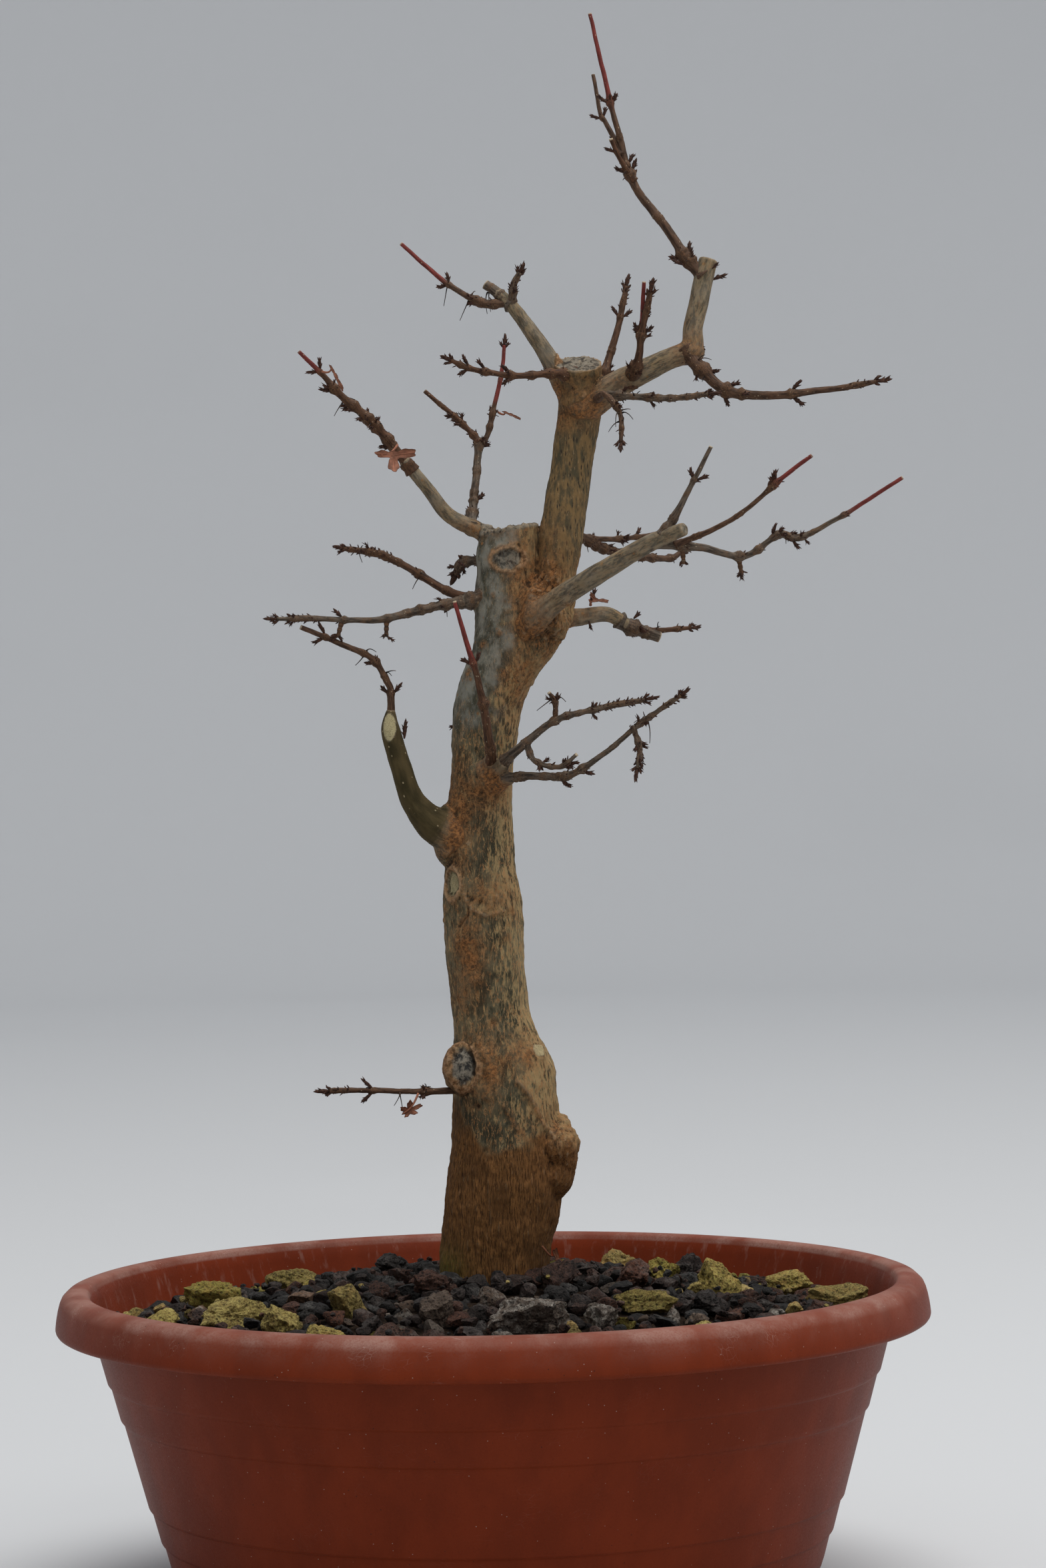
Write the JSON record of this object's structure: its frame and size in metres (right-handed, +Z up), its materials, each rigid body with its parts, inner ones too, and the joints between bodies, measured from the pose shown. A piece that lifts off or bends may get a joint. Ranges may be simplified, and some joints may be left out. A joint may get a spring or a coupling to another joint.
{
  "type": "bonsai tree in a pot",
  "caption": "Leafless young maple bonsai with pruned branches and scars, in a round plastic bowl with a rolled lip, filled with lava and pumice grit.",
  "frame": {"origin": "middle of the bowl's flat underside", "axes": "+Z up, the way the tree grows; -Y is the side shown in front, +X to the right seen from there"},
  "size_m": [0.3, 0.3, 0.5461],
  "materials": {
    "pot_plastic": "satin",
    "grit": "matte",
    "bark": "matte",
    "pumice_stone": "matte",
    "crusted_stone": "matte",
    "lava_stone": "matte",
    "dry_leaf": "matte"
  },
  "bodies": {
    "root": {"crusted_stone_01": "crusted_stone", "crusted_stone_02": "crusted_stone", "crusted_stone_03": "crusted_stone", "grit_bed": "grit", "lava_stone_01": "lava_stone", "lava_stone_02": "lava_stone", "lava_stone_03": "lava_stone", "lava_stone_04": "lava_stone", "lava_stone_05": "lava_stone", "lava_stone_06": "lava_stone", "lava_stone_07": "lava_stone", "lava_stone_08": "lava_stone", "lava_stone_09": "lava_stone", "lava_stone_10": "lava_stone", "lava_stone_11": "lava_stone", "lava_stone_12": "lava_stone", "lava_stone_13": "lava_stone", "lava_stone_14": "lava_stone", "lava_stone_15": "lava_stone", "leaf_high_left": "dry_leaf", "leaf_high_tip": "dry_leaf", "leaf_inner": "dry_leaf", "leaf_low_left": "dry_leaf", "leaf_on_grit": "dry_leaf", "leaf_right_low": "dry_leaf", "pot": "pot_plastic", "pumice_stone_01": "pumice_stone", "pumice_stone_02": "pumice_stone", "pumice_stone_03": "pumice_stone", "pumice_stone_04": "pumice_stone", "pumice_stone_05": "pumice_stone", "pumice_stone_06": "pumice_stone", "pumice_stone_07": "pumice_stone", "pumice_stone_08": "pumice_stone", "pumice_stone_09": "pumice_stone", "pumice_stone_10": "pumice_stone", "pumice_stone_11": "pumice_stone", "pumice_stone_12": "pumice_stone", "pumice_stone_13": "pumice_stone", "tree": "bark"}
  },
  "joints": []
}
